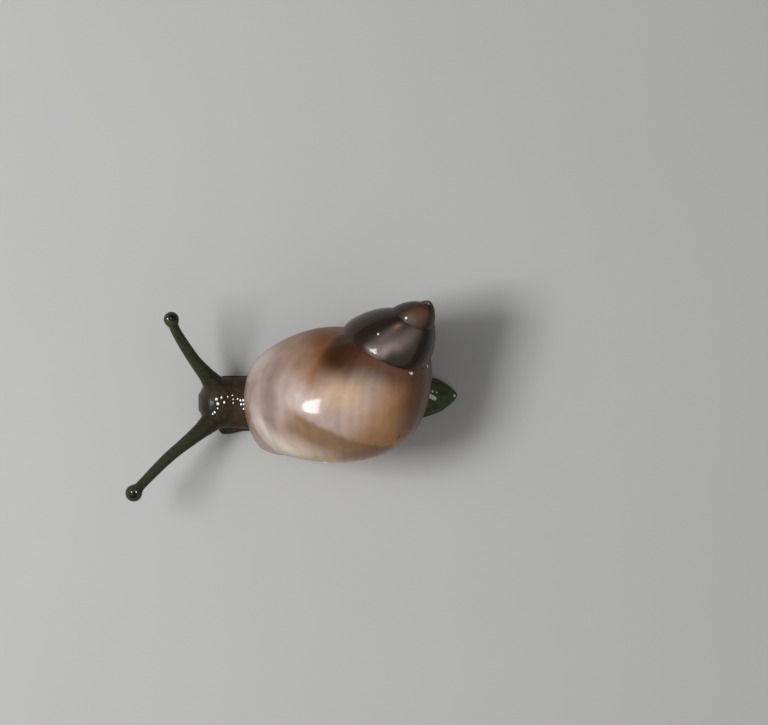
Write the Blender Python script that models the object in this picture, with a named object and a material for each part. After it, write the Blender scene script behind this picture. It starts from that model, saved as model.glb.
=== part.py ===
"""A half-grown partula tree snail at its real size, crawling with its feelers out.

Metres, +Z up. The sole lies flat on z = 0, the head points to -X and the tail to +X.
The shell is one closed solid. The body is parted into its named lengths by thin gaps.
"""

import math

import bmesh
import bpy
import numpy as np

MM = 0.001  # the sizes below are in millimetres
GAP = 0.3  # left between neighbouring pieces
MERGE = 1e-6  # metres

# Shell: where it is carried
SHELL_TIP = (6.94, 4.94, 6.60)
AXIS_HEADING = 50.1  # degrees from +X towards +Y, foot of the shell to its tip
AXIS_RISE = 22.1  # degrees above the floor
LIP_TURN = -1.5  # degrees, the lip's half-plane round the axis

# Shell: the whorl, in units of SHELL_SIZE at the lip
SHELL_SIZE = 9.67
WHORLS = 3.06
NOSE_TURN = 80.0  # degrees over which the first whorl swells from its rounded start
GROWTH = 0.0953  # a radian
GROWTH_FALL = 0.0007  # a radian squared, so that the young whorls grow faster
DROP = 0.864  # from the tip down the axis to the whorl's widest line
DROP_POWER = 1.257
COIL_RADIUS = 0.157  # from the axis to the middle of the whorl
HALF_WIDTH = 0.336
SHOULDER_HEIGHT = 0.549  # above the widest line
BASE_HEIGHT = 0.366  # below it
SHOULDER_POWER = 1.86
SHOULDER_YOUTH = 0.51  # taken off that power as the whorls get smaller
BASE_POWER = 1.67  # under 2, which leaves the blunt keel
WHORL_TILT = 7.2  # degrees
LIP_REACH = 100.0  # degrees before the lip where the whorl begins to change
LIP_SPREAD = 0.014  # added to the half-width at the lip
LIP_RISE = 0.033  # taken off the base's height at the lip
INNER_TURN = 60.0  # degrees before the lip where its inner corner begins to round off
INNER_ROUNDING = 0.55  # share of the way to a fully round corner
PILLAR_HOLE = 0.025  # half-width of the hollow pillar that the whorls wind round
LEAST_HOLE = 0.03  # millimetres
PILLAR_STATIONS = ((0.35, 0.10), (1.2, 0.14), (4.0, 0.26), (7.4, 0.36))  # below the tip, radius
WALL = 0.33  # at the lip
APERTURE_DEPTH = 1.35
APERTURE_TURNS = (-70.0, 10.0)  # degrees of winding that the hollow is swept through
RING_POINTS = 26
RING_STEP = 10.0  # degrees of winding between two rings
PIECE_RINGS = 20  # steps in one length of whorl

# Body
FOOT_FRONT = -3.9
TAIL_END = 8.32
FOOT_TOP = 0.98  # where the thin cut between foot and neck begins
FOOT_ROUND = 0.55  # corner radius of the foot's front edge
TAIL_ROUND = 1.1
FOOT_STATIONS = (  # x, y of the middle, half-width, height
    (-3.9, -0.18, 1.40, 0.60),
    (-3.3, -0.19, 1.44, 0.82),
    (-2.5, -0.12, 1.36, 0.96),
    (-1.4, -0.05, 1.43, 0.98),
    (0.8, 0.00, 1.66, 0.98),
    (2.2, 0.05, 1.68, 0.98),
    (3.6, 0.11, 1.58, 1.46),
    (5.0, 0.16, 1.38, 1.54),
    (6.0, 0.20, 1.17, 1.24),
    (6.9, 0.25, 0.96, 0.88),
    (7.7, 0.27, 0.72, 0.62),
    (8.32, 0.28, 0.42, 0.36),
)
TAIL_CUT = 5.4
HEAD_CUT = -3.25

NECK_STATIONS = (  # x, y of the middle, half-width, bottom, top
    (-4.0, -0.08, 1.34, 0.55, 2.26),
    (-3.2, -0.08, 1.30, 0.65, 2.16),
    (-2.3, -0.07, 1.31, 0.70, 2.14),
    (-1.0, -0.03, 1.40, 0.70, 2.40),
    (0.8, 0.00, 1.20, 0.70, 2.30),
)
STALK_STATIONS = (  # z, x and y of the middle, half-length, half-width
    (0.8, 0.15, 0.00, 1.85, 1.30),
    (1.6, 0.00, 0.00, 1.80, 1.42),
    (2.4, -0.10, 0.02, 1.75, 1.55),
    (4.2, -0.10, 0.05, 1.70, 1.60),
)
HEAD_STATIONS = (  # x, y of the middle, half-width, bottom, top
    (-4.62, -0.06, 0.40, 0.80, 1.56),
    (-4.56, -0.06, 0.68, 0.60, 1.86),
    (-4.40, -0.06, 0.95, 0.42, 2.10),
    (-4.10, -0.07, 1.18, 0.34, 2.29),
    (-3.65, -0.08, 1.31, 0.50, 2.30),
    (-3.00, -0.08, 1.30, 0.65, 2.16),
)
BODY_SIDES = 24

# Mouth: on the lower part of the head's front
MOUTH_PLACE = (-4.50, -0.06, 0.80)
MOUTH_PITCH = 28.0  # degrees that it looks down
MOUTH_HALF_WIDTH = 0.40
LIP_HALF_HEIGHT = 0.20
LIP_ROUND = 0.11
MOUTH_SLOT = 0.055  # half of its height

# Upper feelers: routes from inside the head to the middle of the bulb
UPPER_ROUTES = {
    "left": (
        (-3.60, -0.45, 1.55),
        (-4.22, -1.14, 2.00),
        (-5.05, -1.85, 2.62),
        (-6.25, -2.86, 3.44),
        (-7.42, -4.05, 4.20),
        (-7.90, -4.58, 4.48),
    ),
    "right": (
        (-3.60, 0.35, 1.55),
        (-4.20, 1.18, 2.26),
        (-4.84, 1.98, 3.14),
        (-5.40, 2.84, 4.04),
        (-5.80, 3.55, 4.78),
        (-6.00, 4.10, 5.30),
    ),
}
BULB_RADIUS = {"left": 0.42, "right": 0.38}
FEELER_RADII = (  # share of the route, radius
    (0.00, 0.72),
    (0.09, 0.62),
    (0.16, 0.52),
    (0.25, 0.41),
    (0.45, 0.32),
    (0.86, 0.26),
)
FEELER_PARTS = (0.17, 0.52)  # shares of the route where it leaves the head and is parted
FEELER_SIDES = 14
FEELER_STEPS = 6

# Lower feelers: short, under the front of the head, one on each side of the mouth
LOWER_ROUTE = ((-3.80, 0.45, 1.05), (-4.20, 0.82, 0.78), (-4.38, 1.10, 0.38))
LOWER_ROOT_SHARE = 0.47
LOWER_RADII = ((0.0, 0.42), (0.45, 0.29), (1.0, 0.22))

SKIN_DARK = (0.045, 0.035, 0.026, 1.0)
SKIN_TAIL = (0.10, 0.12, 0.09, 1.0)
SHELL_BUFF = (0.52, 0.36, 0.28, 1.0)
MANTLE_GREY = (0.16, 0.12, 0.10, 1.0)
EYE_BLACK = (0.01, 0.01, 0.01, 1.0)


def clear_scene():
    for item in list(bpy.data.objects):
        bpy.data.objects.remove(item, do_unlink=True)


def new_collection(name):
    collection = bpy.data.collections.new(name)
    bpy.context.scene.collection.children.link(collection)
    return collection


def new_material(name, color, roughness):
    material = bpy.data.materials.new(name)
    material.use_nodes = True
    shader = material.node_tree.nodes["Principled BSDF"]
    shader.inputs["Base Color"].default_value = color
    shader.inputs["Roughness"].default_value = roughness
    shader.inputs["Metallic"].default_value = 0.0
    return material


def loft(name, rings, collection):
    """A closed solid through rings of equally many points in millimetres, with flat ends."""
    bm = bmesh.new()
    rows = [[bm.verts.new(point * MM) for point in ring] for ring in rings]
    count = len(rows[0])
    for low, high in zip(rows, rows[1:]):
        for i in range(count):
            j = (i + 1) % count
            bm.faces.new((low[i], low[j], high[j], high[i]))
    sides = list(bm.faces)
    bm.faces.new(rows[0][::-1])
    bm.faces.new(rows[-1])
    bmesh.ops.triangulate(bm, faces=sides, quad_method="FIXED")
    if bm.calc_volume(signed=True) < 0:
        bmesh.ops.reverse_faces(bm, faces=bm.faces)
    mesh = bpy.data.meshes.new(name)
    bm.to_mesh(mesh)
    bm.free()
    item = bpy.data.objects.new(name, mesh)
    collection.objects.link(item)
    return item


def apply_modifiers(item):
    """Gives the object the mesh that its modifiers make."""
    bpy.context.view_layer.update()
    graph = bpy.context.evaluated_depsgraph_get()
    mesh = bpy.data.meshes.new_from_object(item.evaluated_get(graph))
    item.modifiers.clear()
    old = item.data
    item.data = mesh
    bpy.data.meshes.remove(old)
    mesh.name = item.name


def keep_largest(item):
    """Drops every closed surface of the mesh but the one with the widest box."""
    bm = bmesh.new()
    bm.from_mesh(item.data)
    bmesh.ops.remove_doubles(bm, verts=bm.verts, dist=MERGE)
    left = set(bm.verts)
    groups = []
    while left:
        group = {left.pop()}
        edge = list(group)
        while edge:
            vert = edge.pop()
            near = {link.other_vert(vert) for link in vert.link_edges} - group
            group |= near
            edge.extend(near)
        left -= group
        points = np.array([vert.co for vert in group])
        groups.append((float(np.prod(np.ptp(points, axis=0) + MERGE)), group))
    groups.sort(key=lambda pair: pair[0])
    scraps = [vert for _, group in groups[:-1] for vert in group]
    bmesh.ops.delete(bm, geom=scraps, context="VERTS")
    bm.to_mesh(item.data)
    bm.free()


def join(item, others):
    """Fuses the other closed meshes into the first one and removes them."""
    helpers = bpy.data.collections.new(item.name + "_joined")
    for other in others:
        helpers.objects.link(other)
    union = item.modifiers.new("join", "BOOLEAN")
    union.operation = "UNION"
    union.operand_type = "COLLECTION"
    union.collection = helpers
    apply_modifiers(item)
    for other in others:
        bpy.data.objects.remove(other, do_unlink=True)
    bpy.data.collections.remove(helpers)
    keep_largest(item)


def cut(item, cutter):
    difference = item.modifiers.new("cut", "BOOLEAN")
    difference.operation = "DIFFERENCE"
    difference.object = cutter
    apply_modifiers(item)
    keep_largest(item)


def trim(item, point, normal):
    """Keeps what lies behind the plane through the point, in millimetres, and closes the cut."""
    bm = bmesh.new()
    bm.from_mesh(item.data)
    bmesh.ops.triangulate(bm, faces=bm.faces)
    found = bmesh.ops.bisect_plane(
        bm,
        geom=[*bm.verts, *bm.edges, *bm.faces],
        dist=MERGE,
        plane_co=[value * MM for value in point],
        plane_no=normal,
        clear_outer=True,
    )
    rim = [part for part in found["geom_cut"] if isinstance(part, bmesh.types.BMEdge)]
    bmesh.ops.edgeloop_fill(bm, edges=rim)
    bmesh.ops.recalc_face_normals(bm, faces=bm.faces)
    bm.to_mesh(item.data)
    bm.free()


# Shell


def axis_frame():
    """Unit vectors of the shell: two across its axis, and the axis from foot to tip."""
    heading = math.radians(AXIS_HEADING)
    rise = math.radians(AXIS_RISE)
    along = np.array(
        [math.cos(rise) * math.cos(heading), math.cos(rise) * math.sin(heading), math.sin(rise)]
    )
    first = np.array([-math.sin(heading), math.cos(heading), 0.0])
    return first, np.cross(along, first), along


def aperture_normal():
    """Points into the shell from the plane of its mouth."""
    first, second, _ = axis_frame()
    turn = math.radians(LIP_TURN)
    return math.cos(turn) * second - math.sin(turn) * first


def whorl_size(wound):
    """Size of the whorl, one at the lip, wound being degrees past the lip."""
    angle = math.radians(wound)
    return math.exp(GROWTH * angle - GROWTH_FALL * angle * angle)


def whorl_section(wound, grow):
    """The whorl's outline about its own middle: a wide shoulder over a keeled base."""
    share = whorl_size(wound)
    size = SHELL_SIZE * share
    angle = np.linspace(0, 2 * math.pi, RING_POINTS, endpoint=False)
    cosine = np.cos(angle)
    sine = np.sin(angle)
    upper = sine >= 0
    near_lip = min(max(1 + wound / LIP_REACH, 0.0), 1.0) ** 2
    power = np.where(upper, SHOULDER_POWER - SHOULDER_YOUTH * (1 - share), BASE_POWER)
    height = np.where(upper, SHOULDER_HEIGHT, BASE_HEIGHT - LIP_RISE * near_lip) * size + grow
    width = (HALF_WIDTH + LIP_SPREAD * near_lip) * size + grow
    rounding = INNER_ROUNDING * min(max(1 + wound / INNER_TURN, 0.0), 1.0)
    inner = width + ((COIL_RADIUS - PILLAR_HOLE) * size - width) * rounding
    width = np.where((cosine < 0) & ~upper, inner, width)
    across = np.sign(cosine) * np.abs(cosine) ** (2 / power) * width
    up = np.sign(sine) * np.abs(sine) ** (2 / power) * height
    return across, up


def whorl_ring(wound, grow=0.0, share=1.0):
    """Points round the whorl in millimetres. It is wider all round by grow, then scaled by share."""
    size = SHELL_SIZE * whorl_size(wound)
    across, up = whorl_section(wound, grow)
    young = min((wound + 360 * WHORLS) / NOSE_TURN, 1.0)
    share *= math.sqrt(max(1 - (1 - young) ** 2, 0.04))
    tilt = math.radians(WHORL_TILT)
    middle = COIL_RADIUS * size + HALF_WIDTH * size * (1 - math.cos(tilt))
    drop = DROP * SHELL_SIZE * whorl_size(wound) ** DROP_POWER
    level = -drop - HALF_WIDTH * size * math.sin(tilt)
    radius = middle + share * (across * math.cos(tilt) - up * math.sin(tilt))
    height = level + share * (across * math.sin(tilt) + up * math.cos(tilt))
    hole = max(PILLAR_HOLE * size - grow, LEAST_HOLE) + (1 - share) * middle / 2
    radius = np.maximum(radius, hole)
    first, second, along = axis_frame()
    turn = math.radians(LIP_TURN - wound)
    outward = math.cos(turn) * first + math.sin(turn) * second
    return np.array(SHELL_TIP) + radius[:, None] * outward + height[:, None] * along


def whorl_length(name, start, end, grow, collection):
    """One length of the whorl. Both ends taper in, to sink into the next length."""
    steps = max(2, round((end - start) / RING_STEP))
    turns = np.linspace(start, end, steps + 1)
    taper = 0.9
    rings = [whorl_ring(start - RING_STEP / 2, grow, taper)]
    rings += [whorl_ring(wound, grow) for wound in turns]
    if end < 0:
        rings.append(whorl_ring(end + RING_STEP / 2, grow, taper))
    return loft(name, rings, collection)


def aperture_hollow(depth, shrink, collection):
    """The open end of the last whorl as a solid, from outside the lip to a flat inner end."""
    start, end = APERTURE_TURNS
    turns = np.arange(start, end + RING_STEP / 2, RING_STEP)
    hollow = loft("hollow", [whorl_ring(wound, -shrink) for wound in turns], collection)
    inward = aperture_normal()
    trim(hollow, np.array(SHELL_TIP) + inward * depth, inward)
    return hollow


def pillar(collection):
    """Fills the narrow hole that the whorls wind round, down to the base of the last but one."""
    first, second, along = axis_frame()
    angle = np.linspace(0, 2 * math.pi, 10, endpoint=False)[:, None]
    circle = np.cos(angle) * first + np.sin(angle) * second
    rings = []
    for depth, radius in PILLAR_STATIONS:
        rings.append(np.array(SHELL_TIP) - along * depth + circle * radius)
    return loft("pillar", rings, collection)


def make_shell(name, grow, collection, helpers):
    """The whorls fused, with the mouth left open. With grow it is thicker on every side."""
    start = -360.0 * WHORLS
    span = RING_STEP * PIECE_RINGS
    ends = [0.0]
    while ends[-1] - span > start + span / 2:
        ends.append(ends[-1] - span)
    ends.append(start)
    over = math.degrees(grow / (SHELL_SIZE * (COIL_RADIUS + HALF_WIDTH)))
    last = whorl_length(name, ends[1], over, grow, collection)
    hollow = aperture_hollow(APERTURE_DEPTH - grow, WALL + grow, helpers)
    cut(last, hollow)
    bpy.data.objects.remove(hollow, do_unlink=True)
    others = [
        whorl_length("whorl", low, high, grow, helpers) for high, low in zip(ends[1:], ends[2:])
    ]
    join(last, [*others, pillar(helpers)])
    return last


def make_collar(clearance, collection):
    """The mantle's edge: a plug in the shell's mouth, just inside the lip."""
    collar = aperture_hollow(APERTURE_DEPTH - GAP, WALL, collection)
    collar.name = "mantle_collar"
    inward = aperture_normal()
    trim(collar, np.array(SHELL_TIP) + inward * GAP / 2, -inward)
    cut(collar, clearance)
    return collar


# Body


def station_at(stations, place):
    """The stations' columns, read smoothly at one place along them."""
    table = np.array(stations)
    keys = table[:, 0]
    row = int(np.clip(np.searchsorted(keys, place) - 1, 0, len(keys) - 2))
    slopes = np.gradient(table, keys, axis=0)
    step = keys[row + 1] - keys[row]
    t = np.clip((place - keys[row]) / step, 0, 1)
    rise = t * t * (3 - 2 * t)
    early = t * (1 - t) ** 2 * step
    late = -t * t * (1 - t) * step
    values = (1 - rise) * table[row] + rise * table[row + 1]
    values = values + early * slopes[row] + late * slopes[row + 1]
    return values[1:]


def round_end(distance, radius):
    """Share of the full width at a distance from a rounded end."""
    inside = 1 - np.clip(distance / radius, 0, 1)
    return math.sqrt(1 - inside**2)


def foot_ring(x, grow=0.0):
    """A section of the foot: flat below, a low dome above."""
    middle, half, height = station_at(FOOT_STATIONS, x)
    half *= round_end(x - FOOT_FRONT, FOOT_ROUND) * round_end(TAIL_END - x, TAIL_ROUND)
    height *= round_end(TAIL_END - x, TAIL_ROUND) ** 0.6
    angle = np.linspace(0, math.pi, BODY_SIDES // 2 + 1)
    across = np.sign(np.cos(angle)) * np.abs(np.cos(angle)) ** 0.85 * (half + grow)
    up = np.sin(angle) ** 0.8 * (height + grow)
    return np.stack([np.full_like(angle, x), middle + across, up], axis=1)


def foot_form(name, grow, collection):
    """The whole foot, from its rounded front edge to the tip of the tail."""
    front = FOOT_FRONT + FOOT_ROUND * (1 - np.cos(np.linspace(0.3, math.pi / 2, 6)))
    back = TAIL_END - TAIL_ROUND * (1 - np.cos(np.linspace(math.pi / 2, 0.14, 8)))
    middle = np.linspace(front[-1], back[0], 16)[1:-1]
    rings = [foot_ring(x, grow) for x in (*front, *middle, *back)]
    if grow:
        rings[0] = rings[0] - (grow, 0, 0)
    return loft(name, rings, collection)


def oval_ring(x, middle, half, bottom, top, power=2.3):
    """An upright oval section across the body."""
    angle = np.linspace(0, 2 * math.pi, BODY_SIDES, endpoint=False)
    across = np.sign(np.cos(angle)) * np.abs(np.cos(angle)) ** (2 / power) * half
    up = np.sign(np.sin(angle)) * np.abs(np.sin(angle)) ** (2 / power) * (top - bottom) / 2
    return np.stack([np.full_like(angle, x), middle + across, (top + bottom) / 2 + up], axis=1)


def oval_form(name, stations, steps, collection):
    places = np.linspace(stations[0][0], stations[-1][0], steps)
    return loft(name, [oval_ring(x, *station_at(stations, x)) for x in places], collection)


def stalk_form(collection):
    """The upright part of the neck that goes up into the shell's mouth."""
    angle = np.linspace(0, 2 * math.pi, BODY_SIDES, endpoint=False)
    rings = []
    for z in np.linspace(STALK_STATIONS[0][0], STALK_STATIONS[-1][0], 8):
        x, y, length, width = station_at(STALK_STATIONS, z)
        ring = [x + length * np.cos(angle), y + width * np.sin(angle), np.full_like(angle, z)]
        rings.append(np.stack(ring, axis=1))
    return loft("stalk", rings, collection)


def make_foot(clearance, collection):
    foot = foot_form("foot", 0.0, collection)
    trim(foot, (TAIL_CUT - GAP / 2, 0, 0), (1, 0, 0))
    cut(foot, clearance)
    return foot


def make_tail(clearance, collection):
    tail = foot_form("tail", 0.0, collection)
    trim(tail, (TAIL_CUT + GAP / 2, 0, 0), (-1, 0, 0))
    cut(tail, clearance)
    return tail


def make_neck(clearance, collection, helpers):
    """The neck and its stalk, above the thin cut along the foot and behind that at the head."""
    neck = oval_form("neck", NECK_STATIONS, 14, collection)
    join(neck, [stalk_form(helpers)])
    trim(neck, (0, 0, FOOT_TOP + GAP), (0, 0, -1))
    trim(neck, (HEAD_CUT + GAP / 2, 0, 0), (-1, 0, 0))
    inward = aperture_normal()
    trim(neck, np.array(SHELL_TIP) - inward * GAP / 2, inward)
    cut(neck, clearance)
    return neck


# Feelers


def smooth_route(route, shares):
    """Points and directions on the smooth curve through the route, at shares of its length."""
    points = np.array(route)
    ends = np.vstack([2 * points[0] - points[1], points, 2 * points[-1] - points[-2]])
    fine = []
    for row in range(len(points) - 1):
        before, start, end, after = ends[row : row + 4]
        t = np.linspace(0, 1, 24, endpoint=False)[:, None]
        fine.append(
            0.5
            * (
                2 * start
                + (end - before) * t
                + (2 * before - 5 * start + 4 * end - after) * t**2
                + (3 * start - before - 3 * end + after) * t**3
            )
        )
    curve = np.vstack([*fine, points[-1:]])
    length = np.concatenate([[0], np.cumsum(np.linalg.norm(np.diff(curve, axis=0), axis=1))])
    want = np.array(shares) * length[-1]
    places = np.stack([np.interp(want, length, curve[:, i]) for i in range(3)], axis=1)
    slopes = np.gradient(curve, length, axis=0)
    headings = np.stack([np.interp(want, length, slopes[:, i]) for i in range(3)], axis=1)
    return places, headings / np.linalg.norm(headings, axis=1)[:, None], length[-1]


def circle_ring(place, heading, radius):
    side = np.cross(heading, (0, 0, 1))
    side = side / np.linalg.norm(side)
    up = np.cross(side, heading)
    angle = np.linspace(0, 2 * math.pi, FEELER_SIDES, endpoint=False)[:, None]
    return place + radius * (np.cos(angle) * side + np.sin(angle) * up)


def feeler_length(name, route, radii, start, end, collection):
    """A length of a feeler between two shares of its route, tapering as its radii say."""
    shares = np.linspace(start, end, FEELER_STEPS)
    places, headings, _ = smooth_route(route, shares)
    table = np.array(radii)
    widths = np.interp(shares, table[:, 0], table[:, 1])
    rings = [circle_ring(p, h, w) for p, h, w in zip(places, headings, widths)]
    return loft(name, rings, collection)


def make_bulb(name, route, radius, share, collection):
    """The round end of an upper feeler, which holds the eye, from its flat root to its tip."""
    places, headings, length = smooth_route(route, [share, 1.0])
    root = (1 - share) * length
    along = np.linspace(-root, radius * 0.985, 8)
    rings = []
    for distance in along:
        ball = math.sqrt(max(radius**2 - distance**2, 0.0)) if distance > -radius else 0.0
        width = max(ball, 0.26) if distance < 0 else ball
        rings.append(circle_ring(places[1] + headings[1] * distance, headings[1], width))
    return loft(name, rings, collection)


def make_feelers(side, collection):
    """The upper feeler in two lengths, the bulb with its eye, and the short lower feeler."""
    route = UPPER_ROUTES[side]
    leave, part = FEELER_PARTS
    length = smooth_route(route, [0, 1])[2]
    half_gap = GAP / 2 / length
    bulb = 1 - (BULB_RADIUS[side] + GAP / 2) / length
    base = f"upper_tentacle_{side}_base"
    shaft = f"upper_tentacle_{side}_shaft"
    made = [
        feeler_length(base, route, FEELER_RADII, leave + half_gap, part - half_gap, collection),
        feeler_length(shaft, route, FEELER_RADII, part + half_gap, bulb - half_gap, collection),
        make_bulb(f"eye_{side}", route, BULB_RADIUS[side], bulb + half_gap, collection),
    ]
    lower = lower_route(side)
    gap = GAP / smooth_route(lower, [0, 1])[2]
    low = feeler_length(
        f"lower_tentacle_{side}", lower, LOWER_RADII, LOWER_ROOT_SHARE + gap, 1.0, collection
    )
    return [*made, low]


def lower_route(side):
    mirror = 1 if side == "right" else -1
    return [(x, MOUTH_PLACE[1] + mirror * y, z) for x, y, z in LOWER_ROUTE]


# Head


def lip_ring(helpers):
    """The raised oval lip round the mouth, which looks forward and down."""
    pitch = math.radians(MOUTH_PITCH)
    outward = np.array([-math.cos(pitch), 0, -math.sin(pitch)])
    up = np.array([-math.sin(pitch), 0, math.cos(pitch)])
    across = np.array([0, 1.0, 0])
    rings = []
    for depth, share in ((-0.5, 1.0), (0.02, 1.0), (0.09, 0.86), (0.12, 0.62)):
        angle = np.linspace(0, 2 * math.pi, 20, endpoint=False)[:, None]
        width = (MOUTH_HALF_WIDTH + LIP_ROUND) * share
        height = LIP_HALF_HEIGHT * share
        oval = np.cos(angle) * across * width + np.sin(angle) * up * height
        rings.append(np.array(MOUTH_PLACE) + outward * depth + oval)
    return loft("lip", rings, helpers)


def mouth_slot(helpers):
    """The line of the mouth: a shallow level slot through the lip."""
    pitch = math.radians(MOUTH_PITCH)
    outward = np.array([-math.cos(pitch), 0, -math.sin(pitch)])
    up = np.array([-math.sin(pitch), 0, math.cos(pitch)])
    across = np.array([0, 1.0, 0])
    angle = np.linspace(0, 2 * math.pi, 12, endpoint=False)[:, None]
    oval = np.cos(angle) * across * MOUTH_HALF_WIDTH + np.sin(angle) * up * MOUTH_SLOT
    rings = [np.array(MOUTH_PLACE) + outward * depth + oval for depth in (-0.05, 0.4)]
    return loft("slot", rings, helpers)


def make_head(collection, helpers):
    """The head with the roots of its four feelers, its lip and its mouth."""
    head = oval_form("head", HEAD_STATIONS, 16, collection)
    roots = [lip_ring(helpers)]
    for side, route in UPPER_ROUTES.items():
        end = FEELER_PARTS[0] - GAP / 2 / smooth_route(route, [0, 1])[2]
        roots.append(feeler_length("root", route, FEELER_RADII, 0.02, end, helpers))
        lower = lower_route(side)
        roots.append(feeler_length("root", lower, LOWER_RADII, 0.0, LOWER_ROOT_SHARE, helpers))
    join(head, roots)
    slot = mouth_slot(helpers)
    cut(head, slot)
    trim(head, (HEAD_CUT - GAP / 2, 0, 0), (1, 0, 0))
    below = foot_form("foot_clearance", GAP, helpers)
    cut(head, below)
    bpy.data.objects.remove(slot, do_unlink=True)
    bpy.data.objects.remove(below, do_unlink=True)
    return head


def finish(items, material):
    for item in items:
        item.data.materials.clear()
        item.data.materials.append(material)
        item.data.shade_smooth()
        item.data.set_sharp_from_angle(angle=math.radians(40))


def main():
    clear_scene()
    parts = new_collection("partula_snail")
    helpers = new_collection("cutters")
    shell = make_shell("shell", 0.0, parts, helpers)
    clearance = make_shell("shell_clearance", GAP, helpers, helpers)
    clearance.hide_render = True
    clearance.display_type = "WIRE"
    collar = make_collar(clearance, parts)
    foot = make_foot(clearance, parts)
    tail = make_tail(clearance, parts)
    neck = make_neck(clearance, parts, helpers)
    head = make_head(parts, helpers)
    feelers = [item for side in UPPER_ROUTES for item in make_feelers(side, parts)]
    eyes = [item for item in feelers if item.name.startswith("eye")]
    skin = [item for item in feelers if not item.name.startswith("eye")]
    finish([shell], new_material("shell", SHELL_BUFF, 0.2))
    finish([collar], new_material("mantle", MANTLE_GREY, 0.3))
    finish([neck, head, foot, *skin], new_material("skin", SKIN_DARK, 0.35))
    finish([tail], new_material("tail_skin", SKIN_TAIL, 0.3))
    finish(eyes, new_material("eye", EYE_BLACK, 0.1))


main()
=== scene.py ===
"""Looks for a half-grown partula tree snail at its real size, on a plain stage.

The shell is one swept surface. The soft body is one seamless skin round a field of distances.
Sizes in the formulas are in millimetres, and those in the panel are in metres.
"""

import math

import bpy
import numpy as np
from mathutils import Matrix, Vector


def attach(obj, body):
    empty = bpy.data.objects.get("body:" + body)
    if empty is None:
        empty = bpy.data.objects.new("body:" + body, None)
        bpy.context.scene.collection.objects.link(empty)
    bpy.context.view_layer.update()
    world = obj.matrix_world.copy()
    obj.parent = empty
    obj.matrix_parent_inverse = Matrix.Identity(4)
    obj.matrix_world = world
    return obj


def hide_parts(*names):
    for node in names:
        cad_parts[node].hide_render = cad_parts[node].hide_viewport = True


bl_info = {
    "name": "Partula snail",
    "version": (1, 0, 0),
    "blender": (4, 5, 0),
    "location": "3D View > Sidebar > Snail",
    "description": "Shell, skin, eyes and small marks of a tree snail at its real size",
    "category": "Add Mesh",
}

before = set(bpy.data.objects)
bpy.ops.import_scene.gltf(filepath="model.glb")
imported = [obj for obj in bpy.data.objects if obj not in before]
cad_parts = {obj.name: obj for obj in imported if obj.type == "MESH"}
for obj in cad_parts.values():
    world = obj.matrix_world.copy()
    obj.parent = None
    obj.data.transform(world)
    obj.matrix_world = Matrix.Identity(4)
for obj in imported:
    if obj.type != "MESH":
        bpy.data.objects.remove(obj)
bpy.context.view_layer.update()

MM = 0.001

# Shell: the same spiral as the solid's
SHELL_TIP = np.array([6.94, 4.94, 6.60])
AXIS_HEADING = 50.1
AXIS_RISE = 22.1
LIP_TURN = -1.5
SHELL_SIZE = 9.67
WHORLS = 3.06
NOSE_TURN = 80.0
GROWTH = 0.0953
GROWTH_FALL = 0.0007
DROP = 0.864
DROP_POWER = 1.257
COIL_RADIUS = 0.157
HALF_WIDTH = 0.336
SHOULDER_HEIGHT = 0.549
BASE_HEIGHT = 0.366
SHOULDER_POWER = 1.86
SHOULDER_YOUTH = 0.51
BASE_POWER = 1.67
WHORL_TILT = math.radians(7.2)
LIP_REACH = 100.0
LIP_SPREAD = 0.014
LIP_RISE = 0.033
INNER_TURN = 60.0
INNER_ROUNDING = 0.55
PILLAR_HOLE = 0.025
LIP_TO_AXIS = 4.6

# Shell's mesh
SHELL_COLUMNS = 150
RINGS_A_TURN = 132
LIP_RINGS = 7
INSIDE_TURN = 75.0
INSIDE_RINGS = 22

# Raised thread beyond the suture and growth lines, and the degrees over which they fade in
THREAD_PLACE = 0.07
THREAD_WIDTH = 0.055
THREAD_FADE = (-420, -120)
LINES_FADE = (-200, -20)
LINES_LEAST = 0.35

# Wavelengths in degrees of the growth lines, the colour bands and the edges that wander
GROWTH_SPACINGS = (3.1, 4.7, 7.9, 13.0)
BAND_SPACINGS = (9.0, 14.0, 23.0, 37.0)
BAND_STRENGTH = 0.05
BAND_SLANT = 0.6
WANDER_SPACINGS = (7.0, 13.0, 29.0, 53.0)

# Slant of the growth lines over half a section in turns, and the degrees back of the dark spire
LINE_SLANT = 0.3
SPIRE_START = (190, 330)

# Patches of pigment, and of painted sheen and highlights: strength, middle and size in degrees back and
# of section angle, lean
# Pale growth streaks with painted sheen in them; the one beside the highlight, 64 degrees back, is
# painted sheen
PALE_AND_SHEEN_PATCHES = (
    (0.55, (10, 2), (9, 14), 0),
    (0.45, (64, 4), (13, 13), 0),
    (0.9, (49, -49), (11, 12), -1.1),
)
PEACH_PATCHES = ((0.9, (86, 26), (24, 14), 0),)
IVORY_PATCHES = ((0.8, (78, -60), (22, 13), 0),)
# Painted sheen: greyer clouds of reflected light on the spire
PAINTED_SHEEN_PATCHES = (
    (0.75, (461, 46), (19, 20), 0.3),
    (0.5, (431, 26), (9, 34), 0),
    (0.5, (438, -6), (10, 12), 0),
    (0.6, (795, 24), (22, 18), 0),
)
# Painted highlights on the spire
PAINTED_HIGHLIGHT_PATCHES = ((1.0, (445, 15), (7, 15), 0), (0.6, (455, 26), (9, 8), 0))
TAN_PATCHES = ((0.7, (430, 48), (5, 5), 0),)
TIP_PATCHES = ((1.0, (815, 50), (50, 24), 0),)

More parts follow.
